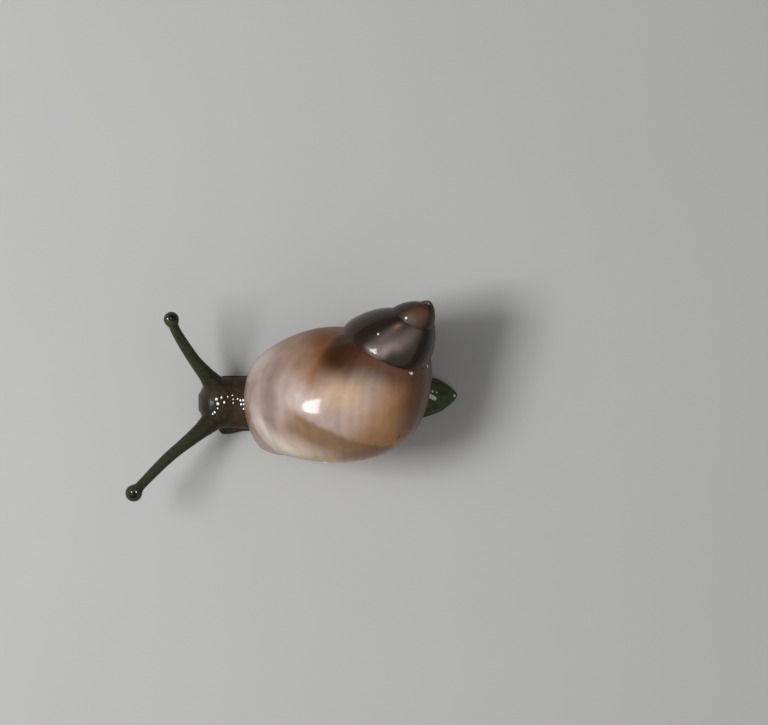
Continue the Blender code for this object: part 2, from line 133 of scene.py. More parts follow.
# Foot: x, y of the middle, half-width, height
FOOT_STATIONS = np.array(
    [
        (-4.05, -0.14, 1.20, 0.36),
        (-3.8, -0.18, 1.38, 0.62),
        (-3.3, -0.19, 1.44, 0.86),
        (-2.5, -0.12, 1.36, 1.02),
        (-1.4, -0.05, 1.44, 1.10),
        (0.8, 0.00, 1.66, 1.20),
        (3.6, 0.11, 1.58, 1.60),
        (5.0, 0.16, 1.38, 1.76),
        (6.0, 0.20, 1.17, 1.32),
        (6.9, 0.25, 0.96, 0.90),
        (7.7, 0.27, 0.70, 0.62),
        (8.32, 0.28, 0.40, 0.34),
    ]
)
FOOT_FRONT = -4.05
FRONT_ROUNDING = 0.55
TAIL_END = 8.32
TAIL_ROUNDING = 1.1
BODY_POWER = 2.3
# Fringe round the sole and the groove over it: strength, height, width
FRINGE = (0.045, 0.0, 0.16)
FRINGE_GROOVE = (0.05, 0.30, 0.07)

# Neck and head: x, y of the middle, half-width, bottom, top
NECK_STATIONS = np.array(
    [
        (-4.72, -0.06, 0.62, 0.62, 1.62),
        (-4.55, -0.06, 0.84, 0.46, 1.92),
        (-4.30, -0.06, 1.04, 0.36, 2.14),
        (-3.90, -0.07, 1.22, 0.34, 2.26),
        (-3.45, -0.08, 1.28, 0.40, 2.22),
        (-3.00, -0.08, 1.27, 0.45, 2.14),
        (-2.30, -0.07, 1.30, 0.50, 2.12),
        (-1.00, -0.03, 1.40, 0.50, 2.36),
        (0.80, 0.00, 1.30, 0.50, 2.30),
        (1.60, 0.02, 1.10, 0.50, 2.00),
    ]
)
# The part that rises into the shell: z, x and y of the middle, half-length, half-width
STALK_STATIONS = np.array(
    [
        (0.6, 0.15, 0.00, 1.85, 1.25),
        (1.6, 0.00, 0.00, 1.82, 1.42),
        (2.4, 0.00, 0.06, 1.88, 1.56),
        (3.4, 0.10, 0.14, 1.90, 1.58),
        (4.4, 0.10, 0.20, 1.80, 1.50),
    ]
)

# The flesh in the shell's mouth: inside the shell's outside, and how far behind the lip
PLUG_CLEARANCE = 0.24
PLUG_START = 0.35
PLUG_END = 1.6

# Feelers: x, y and z along their middles, and their radii at shares of the way
UPPER_ROUTES = {
    "left": (
        (-3.60, -0.45, 1.55),
        (-4.22, -1.14, 2.00),
        (-5.05, -1.85, 2.62),
        (-6.25, -2.86, 3.44),
        (-7.42, -4.05, 4.20),
        (-7.90, -4.58, 4.48),
    ),
    "right": (
        (-3.60, 0.35, 1.55),
        (-4.20, 1.18, 2.26),
        (-4.84, 1.98, 3.14),
        (-5.40, 2.84, 4.04),
        (-5.80, 3.55, 4.78),
        (-6.00, 4.10, 5.30),
    ),
}
BULB_RADIUS = {"left": 0.42, "right": 0.38}
BULB_MARGIN = 0.8
BULB_BLEND = 0.16
FEELER_RADII = np.array(
    [(0.00, 0.66), (0.09, 0.58), (0.16, 0.50), (0.25, 0.40), (0.45, 0.31), (0.86, 0.25), (1.0, 0.25)]
)
LOWER_ROUTE = ((-3.80, 0.45, 1.05), (-4.16, 0.80, 0.78), (-4.36, 1.06, 0.38))
LOWER_RADII = np.array([(0.0, 0.42), (0.45, 0.30), (0.8, 0.24), (1.0, 0.23)])
FEELER_MARGIN = 0.9
UPPER_BLEND = 0.28
LOWER_BLEND = 0.2

# Mouth: its middle, its slope and the box round it
MOUTH_PLACE = np.array([-4.50, -0.06, 0.80])
MOUTH_PITCH = math.radians(28.0)
MOUTH_BOX = ((-5.3, -1.0, 0.2), (-4.0, 1.0, 1.5))
# Lips: height of each over the mouth line, and half-length
LIPS = ((0.14, 0.36), (-0.14, 0.30))
LIP_RADIUS = 0.14
LIP_FORWARD = 0.05
LIP_BLEND = 0.08
GROOVE_HALF = 0.36
GROOVE_RADIUS = 0.08
GROOVE_FORWARD = 0.17
GROOVE_BLEND = 0.06

# Where the tones of the skin change: share of a feeler, x along the body, z up from the floor
FEELER_TONE = (0.12, 0.45)
TAIL_TONE = (4.2, 6.6)
NECK_START = (-4.0, -2.9)
NECK_END = (-1.0, 1.5)
SOLE_TONE = (0.02, 0.24)
COLLAR_TONE = (2.3, 3.0)
COLLAR_FRONT = -2.9

# Nodes that the skin stands for
FLESH_NODES = (
    "neck",
    "head",
    "foot",
    "tail",
    "mantle_collar",
    "upper_tentacle_left_base",
    "upper_tentacle_left_shaft",
    "upper_tentacle_right_base",
    "upper_tentacle_right_shaft",
    "lower_tentacle_left",
    "lower_tentacle_right",
)

# Eye spots: x and y, and how far each is sunk in its bulb, in its own radii
EYE_PLACES = {"left": (-7.93, -4.675), "right": (-5.92, 4.205)}
EYE_SINK = 0.8

# Wet beads: x, y and share of the full size
BEAD_PLACES = (
    (-3.82, 0.11, 1.0),
    (-3.57, 0.19, 0.8),
    (-3.76, -0.12, 1.1),
    (-3.43, -0.05, 0.9),
    (-3.75, -0.35, 0.6),
    (-3.91, -0.55, 0.8),
    (-4.00, -0.63, 0.6),
    (-3.25, 0.23, 0.5),
    (-3.02, 0.30, 0.5),
    (-2.98, 0.10, 0.5),
    (-2.98, -0.09, 0.5),
    (-2.76, 0.12, 0.6),
    (-2.62, 0.05, 0.8),
    (-2.48, 0.05, 0.8),
    (-2.58, -0.15, 0.9),
    (-2.44, -0.15, 0.9),
    (-2.46, -0.38, 0.7),
    (-8.00, -4.52, 0.5),
    (-7.77, -4.52, 0.5),
    (-6.18, 4.13, 0.5),
)
# Pale beads on the tail, in the shell's shade, that stand for painted glints
TAIL_GLINT_BEADS = (
    (6.82, 0.31, 0.9),
    (6.93, 0.25, 1.0),
    (7.04, 0.19, 0.9),
    (7.14, 0.14, 0.8),
    (7.04, 0.50, 0.5),
    (7.26, 0.44, 0.4),
    (8.14, 0.28, 0.6),
)
# Short way of the beads, and their thickness and depth in the skin in their own radii
BEAD_AXIS = (-0.29, 0.0, 0.96)
BEAD_THICKNESS = 0.2
BEAD_SINK = 0.1

# Specks on the shell: degrees back from the lip, section angle, radius
PALE_SPECKS = (
    (138, 56.5, 0.09),
    (134, 57.0, 0.05),
    (176, 57.5, 0.08),
    (118, -66, 0.11),
    # These two, on the spire, are painted highlights
    (421, 26, 0.06),
    (786, 18, 0.07),
)
DARK_SPECKS = ((148, 5.4, 0.10),)
SPECK_THICKNESS = 0.45

# Stage: the floor and the camera's sensor in millimetres, and the rest in metres
FLOOR_HALF = 300.0
SENSOR_WIDTH = 36.0
VIEW_MIDDLE = Vector((0.0046, 0.00195, 0.004))
LIGHT_TARGET = Vector((0.001, 0.0005, 0.005))
LIGHT_DISTANCE = 0.14
SKY_COLOUR = (0.88, 0.87, 0.85, 1)
# Lights: the direction towards each, how many degrees wide it looks, and its colour
LIGHTS = {
    "soft_box": ((-0.59, 0.03, 0.80), 36.0, (1.0, 0.985, 0.96)),
    "core": ((-0.56, 0.0, 0.83), 18.0, (1, 1, 1)),
    "fill": ((0.35, -0.35, 0.87), 70.0, (1, 1, 1)),
}

# Grid of distances that the skin is drawn from
SKIN_STEP = 0.06
SKIN_LOW = np.array([-8.7, -5.4, -0.3])
SKIN_HIGH = np.array([8.8, 4.9, 6.1])
FAR = 5.0
SETTLE_ROUNDS = 3
SETTLE_REACH = 0.6


# Shared helpers


def fade(value, start, end):
    """0 before start and 1 past end, and between them t squared times (3 - 2t)."""
    t = np.clip((value - start) / (end - start), 0, 1)
    return t * t * (3 - 2 * t)


def hump(value, middle, width):
    """A smooth hump: e to the power of minus the squared distance in widths."""
    return np.exp(-(((value - middle) / width) ** 2))


def ripples(value, waves, seed):
    """A wandering line between about -1 and 1: a sum of sines of unlike lengths."""
    chance = np.random.default_rng(seed)
    total = np.zeros_like(value, dtype=float)
    for length in waves:
        total += np.sin(value * 2 * math.pi / length + chance.uniform(0, 2 * math.pi))
    return total / math.sqrt(len(waves))


def smooth_min(first, second, blend):
    """The lesser of two distances, rounded where they differ by less than blend."""
    share = np.clip(0.5 + 0.5 * (second - first) / blend, 0, 1)
    return second + (first - second) * share - blend * share * (1 - share)


def smooth_max(first, second, blend):
    """The greater of two distances, rounded in the same way."""
    return -smooth_min(-first, -second, blend)


def add_mesh(name, points, faces):
    """A smooth-shaded mesh object from points in millimetres and faces that point outwards."""
    mesh = bpy.data.meshes.new(name)
    mesh.from_pydata((points * MM).tolist(), [], faces)
    mesh.validate()
    mesh.shade_smooth()
    item = bpy.data.objects.new(name, mesh)
    bpy.context.scene.collection.objects.link(item)
    return item


def tube_faces(rows, columns):
    """Quads along a closed tube, and a fan to one more point at each end."""
    index = np.arange(rows * columns).reshape(rows, columns)
    low, high = index[:-1], index[1:]
    quads = np.stack([low, np.roll(low, -1, 1), np.roll(high, -1, 1), high], axis=-1)
    start = np.full(columns, rows * columns)
    first = np.stack([start, np.roll(index[0], -1), index[0]], axis=-1)
    last = np.stack([start + 1, index[-1], np.roll(index[-1], -1)], axis=-1)
    return quads.reshape(-1, 4), np.concatenate([first, last])


def set_point_values(item, name, values):
    """Stores one number at each point of the mesh."""
    layer = item.data.attributes.new(name, "FLOAT", "POINT")
    layer.data.foreach_set("value", values.astype(np.float32).ravel())


def set_point_colours(item, name, colours):
    """Stores one opaque colour at each point of the mesh."""
    layer = item.data.attributes.new(name, "FLOAT_COLOR", "POINT")
    solid = np.concatenate([colours, np.ones((len(colours), 1))], axis=1)
    layer.data.foreach_set("color", solid.astype(np.float32).ravel())


# Shell


def axis_frame():
    """Unit vectors of the shell: two across its axis, and the axis from foot to tip."""
    heading = math.radians(AXIS_HEADING)
    rise = math.radians(AXIS_RISE)
    along = np.array(
        [math.cos(rise) * math.cos(heading), math.cos(rise) * math.sin(heading), math.sin(rise)]
    )
    first = np.array([-math.sin(heading), math.cos(heading), 0.0])
    return first, np.cross(along, first), along


def aperture_normal():
    """Points into the shell from the plane of its mouth."""
    first, second, _ = axis_frame()
    turn = math.radians(LIP_TURN)
    return math.cos(turn) * second - math.sin(turn) * first


def whorl_size(wound):
    """Size of the whorl, one at the lip: e to a square function of the winding angle."""
    angle = np.radians(wound)
    return np.exp(GROWTH * angle - GROWTH_FALL * angle * angle)


def whorl_middle(wound):
    """Distance of the whorl's middle from the axis, and its height along the axis from the tip."""
    size = SHELL_SIZE * whorl_size(wound)
    middle = COIL_RADIUS * size + HALF_WIDTH * size * (1 - math.cos(WHORL_TILT))
    drop = DROP * SHELL_SIZE * whorl_size(wound) ** DROP_POWER
    return middle, -drop - HALF_WIDTH * size * math.sin(WHORL_TILT)


def whorl_form(wound):
    """Half-width, heights of shoulder and base, and the shoulder's power.

    Over the last LIP_REACH degrees they change to those of the lip with the square of the way.
    """
    share = whorl_size(wound)
    size = SHELL_SIZE * share
    near_lip = np.clip(1 + wound / LIP_REACH, 0, 1) ** 2
    width = (HALF_WIDTH + LIP_SPREAD * near_lip) * size
    shoulder = SHOULDER_HEIGHT * size
    base = (BASE_HEIGHT - LIP_RISE * near_lip) * size
    return width, shoulder, base, SHOULDER_POWER - SHOULDER_YOUTH * (1 - share)


def whorl_outline(wound, angle, grow):
    """Radius and height of points of the whorl at an angle round its own middle.

    Two half superellipses, a wide shoulder over a keeled base, tilted about the middle.
    Grow is added to both half-axes, and the radius stops at the hollow pillar.
    """
    size = SHELL_SIZE * whorl_size(wound)
    width, shoulder, base, shoulder_power = whorl_form(wound)
    cosine = np.cos(angle)
    sine = np.sin(angle)
    upper = sine >= 0
    power = np.where(upper, shoulder_power, BASE_POWER)
    height = np.where(upper, shoulder, base) + grow
    width = width + grow
    rounding = INNER_ROUNDING * np.clip(1 + wound / INNER_TURN, 0, 1)
    inner = width + ((COIL_RADIUS - PILLAR_HOLE) * size - width) * rounding
    width = np.where((cosine < 0) & ~upper, inner, width)
    across = np.sign(cosine) * np.abs(cosine) ** (2 / power) * width
    up = np.sign(sine) * np.abs(sine) ** (2 / power) * height
    young = np.clip((wound + 360 * WHORLS) / NOSE_TURN, 0, 1)
    swell = np.sqrt(np.maximum(1 - (1 - young) ** 2, 0.0004))
    middle, level = whorl_middle(wound)
    radius = middle + swell * (across * math.cos(WHORL_TILT) - up * math.sin(WHORL_TILT))
    tall = level + swell * (across * math.sin(WHORL_TILT) + up * math.cos(WHORL_TILT))
    return np.maximum(radius, PILLAR_HOLE * size - grow), tall


def beyond_whorl(wound, radius, tall):
    """How far points of a half-plane through the axis lie outside the whorl that it cuts there."""
    width, shoulder, base, shoulder_power = whorl_form(wound)
    middle, level = whorl_middle(wound)
    cosine, sine = math.cos(WHORL_TILT), math.sin(WHORL_TILT)
    x = (radius - middle) * cosine + (tall - level) * sine
    y = (tall - level) * cosine - (radius - middle) * sine
    upper = y >= 0
    power = np.where(upper, shoulder_power, BASE_POWER)
    height = np.where(upper, shoulder, base)
    reach = (np.abs(x / width) ** power + np.abs(y / height) ** power) ** (1 / power)
    return np.hypot(x, y) * (1 - 1 / np.maximum(reach, 1e-6))


def around_axis(wound, radius, tall):
    """Points in space from the winding angle, the radius and the height along the axis."""
    first, second, along = axis_frame()
    turn = np.radians(LIP_TURN - wound)[..., None]
    outward = np.cos(turn) * first + np.sin(turn) * second
    return SHELL_TIP + radius[..., None] * outward + tall[..., None] * along


def shell_grid(sizes):
    """Winding angle, section angle and growth allowance of every point of the shell's surface.

    Outside from the tip to the lip, over the rounded lip, and back inside for a quarter turn.
    """
    wall = sizes.wall / MM
    outside = np.linspace(-360 * WHORLS, 0, round(RINGS_A_TURN * WHORLS))
    bend = np.linspace(0, math.pi, LIP_RINGS + 2)[1:-1]
    lip_reach = math.degrees(wall / 2 / LIP_TO_AXIS)
    over = np.sin(bend) * lip_reach
    inside = -np.linspace(0, 1, INSIDE_RINGS) ** 1.5 * INSIDE_TURN
    wound = np.concatenate([outside, over, inside])[:, None]
    grow = np.concatenate(
        [np.zeros_like(outside), -wall / 2 * (1 - np.cos(bend)), np.full_like(inside, -wall)]
    )[:, None]
    angle = np.linspace(0, 2 * math.pi, SHELL_COLUMNS, endpoint=False)[None, :]
    return wound, angle, grow


def shell_surface(sizes):
    """The shell's points, their angles, and how far each is outside the whorl before.

    That is 0 at the suture, and just beyond it a hump raises the thread. Growth lines are ripples
    of the winding angle.
    """
    wound, angle, grow = np.broadcast_arrays(*shell_grid(sizes))
    radius, tall = whorl_outline(wound, angle, grow)
    before = wound - 360
    open_by = np.where(before < -360 * WHORLS, FAR, beyond_whorl(before, radius, tall))
    thread = hump(open_by, THREAD_PLACE, THREAD_WIDTH) * sizes.thread / MM * fade(wound, *THREAD_FADE)
    lines = ripples(wound, GROWTH_SPACINGS, 3) * sizes.growth_lines / MM
    strength = LINES_LEAST + (1 - LINES_LEAST) * fade(wound, *LINES_FADE)
    relief = np.where(grow == 0, thread + lines * strength, 0.0)
    radius, tall = whorl_outline(wound, angle, grow + relief)
    return around_axis(wound, radius, tall), wound, angle, open_by


def section_height(angle):
    """The section angle from minus half a turn to half a turn."""
    return np.where(angle > math.pi, angle - 2 * math.pi, angle)


def patches(back, height, spots):
    """The sum of soft ovals: humps in both angles, sheared along the whorl by their lean."""
    total = np.zeros_like(back)
    for strength, place, size, lean in spots:
        across = back - place[0] - lean * (height - place[1])
        total += strength * np.exp(-((across / size[0]) ** 2) - ((height - place[1]) / size[1]) ** 2)
    return total


def lip_layers(back, height, finish):
    """Pale and grey growth bands by the lip, with painted sheen in the pale ones, its brown shoulder and
    its own edge.

    The ridge, a growth step across the base, bends back with the square of the depth.
    """
    low = 1 - fade(height, 12, 24)
    grey = hump(back, 31 + 0.5 * (12 - height), 9) * low * fade(height, -50, -34)
    young = 1 - fade(back, 60, 84)
    ridge = back - 32 - 30 * np.clip((-height - 38) / 35, 0, 1) ** 2
    last = (1 - fade(ridge, -10, 2)) * fade(-height, 32, 58) * (1 - 0.6 * fade(-height, 76, 110))
    edge = hump(back, 4, 9) * fade(-height, 12, 20) * (1 - fade(-height, 30, 44))
    rim = 0.5 * hump(ridge, 0, 4.2) * fade(-height, 36, 46) * (1 - fade(-height, 70, 100))
    rim = rim + hump(back, -0.4, 0.7)
    return [
        (0.95 * grey, finish.lilac),
        (patches(back, height, PALE_AND_SHEEN_PATCHES), finish.streak_and_sheen),
        (0.85 * fade(height, 8, 24) * young, finish.rose),
        (fade(height, 24, 44) * young, finish.russet),
        (0.6 * edge, finish.keel),
        (0.7 * last, finish.keel),
        (rim, finish.streak_and_sheen),
    ]


def back_layers(back, height, wander, finish):
    """The back of the last whorl: tan turning to russet, a brown keel band darkened as painted shade,
    the base with a painted glow of light through it, and the dark patch.

    The dark patch starts at an edge that slants back as it goes down from the suture.
    """
    edge = back - (24 + 0.93 * (57 - height)) + 1.2 * wander
    patch = fade(edge, -3, 5) * (1 - 0.55 * fade(edge, 18, 50)) * (1 - fade(edge, 40, 80))
    patch = patch * fade(height - 0.25 * edge, 16, 36)
    glow = hump(edge, 0, 6) * fade(height, 10, 24) * (1 - fade(height, 38, 54))
    under = fade(height, 33, 54) * fade(back, 54, 68)
    # Painted shade under the widest line, laid over a brown band there
    band = fade(-height + 0.8 * wander, 5, 12) * (1 - fade(-height, 26, 44)) * fade(back, 58, 76)
    return [
        (patches(back, height, IVORY_PATCHES), finish.ivory),
        (fade(back, 96, 122), finish.tan),
        # Painted glow: yellow-olive light shining through the base of the shell
        (fade(-height, 36, 56) * fade(back, 84, 106), finish.olive),
        (patches(back, height, PEACH_PATCHES), finish.peach),
        (0.85 * fade(back, 114, 160) * fade(height, 10, 34), finish.russet),
        (fade(back, 128, 156) * (1 - fade(height, 6, 22)) * fade(height, -16, -6), finish.orange),
        (0.95 * band, finish.keel),
        (0.6 * band * fade(back, 108, 140), finish.russet),
        (0.95 * under, finish.mauve),
        (patch, finish.chestnut),
        (0.6 * glow, finish.amber),
        (fade(back, 130, 166) * fade(height, -6, 18), finish.umber),
    ]


def spire_layers(back, height, finish):
    """The whorls above, dark over the body, with painted sheen and highlights in greyer clouds, and an
    orange first whorl.
    """
    tip = patches(back, height, TIP_PATCHES) + fade(back, 885, 960)
    return [
        (fade(back, *SPIRE_START), finish.chocolate),
        # Painted sheen and highlights on the spire
        (0.75 * patches(back, height, PAINTED_SHEEN_PATCHES), finish.painted_spire_sheen),
        (patches(back, height, TAN_PATCHES), finish.tan),
        (patches(back, height, PAINTED_HIGHLIGHT_PATCHES), finish.painted_spire_sheen),
        (0.75 * np.minimum(tip, 1), finish.tip),
    ]


def shell_pigment(wound, angle, finish):
    """The shell's colour at its points, with painted sheen, shade and glow in some layers: soft-edged
    layers laid one over another.

    Back is the degrees wound back from the lip. Height is the section angle: 0 at the widest
    line, 60 at the suture and -90 at the bottom of the base. Growth bands slant across both.
    """
    height = np.degrees(section_height(angle))
    wander = ripples(wound, WANDER_SPACINGS, 11)
    back = -wound
    layers = lip_layers(back, height, finish)
    layers += back_layers(back, height, wander, finish)
    layers += spire_layers(back, height, finish)
    colour = np.zeros(back.shape + (3,)) + np.array(finish.cream[:3])
    for share, pigment in layers:
        colour += np.clip(share, 0, 1)[..., None] * (np.array(pigment[:3]) - colour)
    bands = ripples(back + BAND_SLANT * height, BAND_SPACINGS, 5)
    return colour * (1 + BAND_STRENGTH * bands * (1 - fade(back, 240, 340)))[..., None]


def make_shell(sizes, finish):
    """The whole shell as one closed surface that covers the solid's."""
    points, wound, angle, open_by = shell_surface(sizes)
    ends = np.stack([points[0].mean(axis=0), points[-1].mean(axis=0)])
    quads, fans = tube_faces(*wound.shape)
    faces = quads.tolist() + fans.tolist()
    shell = add_mesh("horn_shell", np.concatenate([points.reshape(-1, 3), ends]), faces)
    pigment = shell_pigment(wound, angle, finish)
    set_point_colours(shell, "pigment", np.concatenate([pigment.reshape(-1, 3), pigment[[0, -1], 0]]))
    height = section_height(angle) / math.pi
    values = {
        "growth": wound / 360 - LINE_SLANT * height,
        "spiral": height,
        # Distance out from the suture, for the painted shade in it
        "seam": np.clip(open_by, 0, 1),
        "worn": fade(-wound, *SPIRE_START),
    }
    for name, value in values.items():
        set_point_values(shell, name, np.concatenate([value.ravel(), value[[0, -1], 0]]))
    return shell


# Skin


def table_at(stations, place):
    """The stations' columns at many places along them, on smooth cubic pieces."""
    keys = stations[:, 0]
    slopes = np.gradient(stations, keys, axis=0)
    place = np.clip(place, keys[0], keys[-1])
    row = np.clip(np.searchsorted(keys, place) - 1, 0, len(keys) - 2)
    step = (keys[row + 1] - keys[row])[:, None]
    t = (place[:, None] - keys[row][:, None]) / step
    rise = t * t * (3 - 2 * t)
    early = t * (1 - t) ** 2 * step
    late = -t * t * (1 - t) * step
    values = (1 - rise) * stations[row] + rise * stations[row + 1]
    return (values + early * slopes[row] + late * slopes[row + 1])[:, 1:]


def oval_distance(across, up, width, height, power):
    """About the distance outside a superellipse, along the line from its middle."""
    reach = (np.abs(across / width) ** power + np.abs(up / height) ** power) ** (1 / power)
    return np.hypot(across, up) * (1 - 1 / np.maximum(reach, 0.05))


def foot_form(x, y, z):
    """Flat below and domed above, rounded at both ends, with a thin fringe round the sole."""
    middle, half, height = table_at(FOOT_STATIONS, x.ravel()).T.reshape(3, -1, 1, 1)
    front = np.clip((x - FOOT_FRONT) / FRONT_ROUNDING, 0.02, 1)
    back = np.clip((TAIL_END - x) / TAIL_ROUNDING, 0.02, 1)
    ends = np.sqrt(1 - (1 - front) ** 2) * np.sqrt(1 - (1 - back) ** 2)
    fringe = FRINGE[0] * hump(z, *FRINGE[1:]) - FRINGE_GROOVE[0] * hump(z, *FRINGE_GROOVE[1:])
    half = half * ends * (1 + fringe)
    height = height * np.sqrt(1 - (1 - back) ** 2) ** 0.6
    dome = oval_distance(y - middle, z, half, height, BODY_POWER)
    reach = np.maximum(FOOT_FRONT - x, x - TAIL_END)
    return smooth_max(smooth_max(dome, reach, 0.1), -z, 0.12)


def neck_form(x, y, z):
    """Superellipses across the body, one at each x of the table, rounded off at both ends."""
    middle, half, bottom, top = table_at(NECK_STATIONS, x.ravel()).T.reshape(4, -1, 1, 1)
    centre = (top + bottom) / 2
    side = oval_distance(y - middle, z - centre, half, (top - bottom) / 2, BODY_POWER)
    start, end = NECK_STATIONS[[0, -1], 0]
    return smooth_max(side, np.maximum(start - x, x - end), 0.5)


def stalk_form(x, y, z):
    """Level ellipses, one at each z of the table, that carry the body up into the shell."""
    mid_x, mid_y, length, width = table_at(STALK_STATIONS, z.ravel()).T.reshape(4, 1, 1, -1)
    scaled = (y - mid_y) * length / width
    return oval_distance(x - mid_x, scaled, length, length, 2.0) * 0.9


def dot(first, second):
    """The scalar product of two directions, each in three parts that can be grids."""
    return sum(one * other for one, other in zip(first, second))


def plug_form(x, y, z):
    """What fills the shell's mouth: inside the whorl, behind the plane of the mouth."""
    first, second, along = axis_frame()
    away = [x - SHELL_TIP[0], y - SHELL_TIP[1], z - SHELL_TIP[2]]
    u, v, tall = (dot(line, away) for line in (first, second, along))
    turn = np.degrees(np.arctan2(v, u))
    wound = np.mod(LIP_TURN - turn + 180, 360) - 180
    wall = beyond_whorl(np.minimum(wound, 0), np.hypot(u, v), tall) + PLUG_CLEARANCE
    into = dot(aperture_normal(), away)
    return smooth_max(wall, np.maximum(PLUG_START - into, into - PLUG_END), 0.35)


def smooth_route(route, count):
    """Evenly spaced points on the smooth curve through the route."""
    points = np.array(route)
    ends = np.vstack([2 * points[0] - points[1], points, 2 * points[-1] - points[-2]])
    t = np.linspace(0, 1, 24, endpoint=False)[:, None]
    fine = []
    for row in range(len(points) - 1):
        before, start, end, after = ends[row : row + 4]
        bend = (2 * before - 5 * start + 4 * end - after) * t**2
        twist = (3 * start - before - 3 * end + after) * t**3
        fine.append(0.5 * (2 * start + (end - before) * t + bend + twist))
    curve = np.vstack([*fine, points[-1:]])
    length = np.concatenate([[0], np.cumsum(np.linalg.norm(np.diff(curve, axis=0), axis=1))])
    want = np.linspace(0, length[-1], count)
    return np.stack([np.interp(want, length, curve[:, i]) for i in range(3)], axis=1)


def rod_form(start, end, thick, thin):
    """The distance from a rod whose radius changes evenly from one end to the other."""

    def form(x, y, z):
        line = end - start
        away = [x - start[0], y - start[1], z - start[2]]
        t = np.clip(dot(line, away) / float(line @ line), 0, 1)
        gap = [value - part * t for part, value in zip(line, away)]
        return np.sqrt(dot(gap, gap)) - (thick + (thin - thick) * t)

    return form


def ball_form(middle, radius):
    """The distance from a ball."""

    def form(x, y, z):
        parts = [(value - place) / radius for value, place in zip((x, y, z), middle)]
        return (np.sqrt(dot(parts, parts)) - 1) * radius

    return form


def window(axes, low, high):
    """The part of the grid inside a box, as slices and as coordinates."""
    part = tuple(
        slice(int(np.searchsorted(axis, a)), int(np.searchsorted(axis, b)))
        for axis, a, b in zip(axes, low, high)
    )
    return part, np.ix_(*[axis[cut] for axis, cut in zip(axes, part)])


def add_form(field, axes, form, low, high, blend):
    """Joins a form to the field inside a box, with a rounded seam."""
    part, grid = window(axes, low, high)
    field[part] = smooth_min(field[part], form(*grid), blend)


def take_form(field, axes, form, low, high, blend):
    """Cuts a form out of the field inside a box, with a rounded edge."""
    part, grid = window(axes, low, high)
    field[part] = smooth_max(field[part], -form(*grid), blend)


def add_rods(field, axes, route, radii, blend):
    """A feeler: rods end to end along a smooth route, joined as one form first."""
    points = smooth_route(route, 22)
    widths = np.interp(np.linspace(0, 1, len(points)), radii[:, 0], radii[:, 1])
    low = points.min(axis=0) - FEELER_MARGIN
    high = points.max(axis=0) + FEELER_MARGIN
    part, grid = window(axes, low, high)
    whole = None
    for start, end, thick, thin in zip(points, points[1:], widths, widths[1:]):
        near = rod_form(start, end, thick, thin)(*grid)
        whole = near if whole is None else np.minimum(whole, near)
    field[part] = smooth_min(field[part], whole, blend)


# Forms of the body with the box that each is worked out in, and how far its seam is rounded
BODY_FORMS = (
    (foot_form, (-4.5, -2.3, -0.3), (8.8, 2.3, 2.0), 0.05),
    (neck_form, (-5.3, -2.2, -0.1), (2.2, 2.2, 3.2), 0.35),
    (stalk_form, (-2.6, -2.4, 0.5), (2.8, 2.4, 4.4), 0.4),
    (plug_form, (-2.8, -3.0, 1.6), (4.4, 4.0, 5.9), 0.3),
)


def body_field():
    """Distances from the soft body on a grid: below 0 inside, above 0 outside."""
    axes = [np.arange(low, high, SKIN_STEP) for low, high in zip(SKIN_LOW, SKIN_HIGH)]
    field = np.full([len(axis) for axis in axes], FAR, dtype=np.float32)
    for form, low, high, blend in BODY_FORMS:
        add_form(field, axes, form, low, high, blend)
    for side, route in UPPER_ROUTES.items():
        add_rods(field, axes, route, FEELER_RADII, UPPER_BLEND)
        middle = np.array(route[-1])
        ball = ball_form(middle, BULB_RADIUS[side])
        add_form(field, axes, ball, middle - BULB_MARGIN, middle + BULB_MARGIN, BULB_BLEND)
    for mirror in (1, -1):
        route = [(x, MOUTH_PLACE[1] + mirror * y, z) for x, y, z in LOWER_ROUTE]
        add_rods(field, axes, route, LOWER_RADII, LOWER_BLEND)
    down = np.array([-math.cos(MOUTH_PITCH), 0, -math.sin(MOUTH_PITCH)])
    up = np.array([-math.sin(MOUTH_PITCH), 0, math.cos(MOUTH_PITCH)])
    for lift, half in LIPS:
        place = MOUTH_PLACE + up * lift + down * LIP_FORWARD
        lip = rod_form(place + (0, half, 0), place - (0, half, 0), LIP_RADIUS, LIP_RADIUS)
        add_form(field, axes, lip, *MOUTH_BOX, LIP_BLEND)
    place = MOUTH_PLACE + down * GROOVE_FORWARD
    reach = np.array([0, GROOVE_HALF, 0])
    groove = rod_form(place + reach, place - reach, GROOVE_RADIUS, GROOVE_RADIUS)
    take_form(field, axes, groove, *MOUTH_BOX, GROOVE_BLEND)
    return field, axes


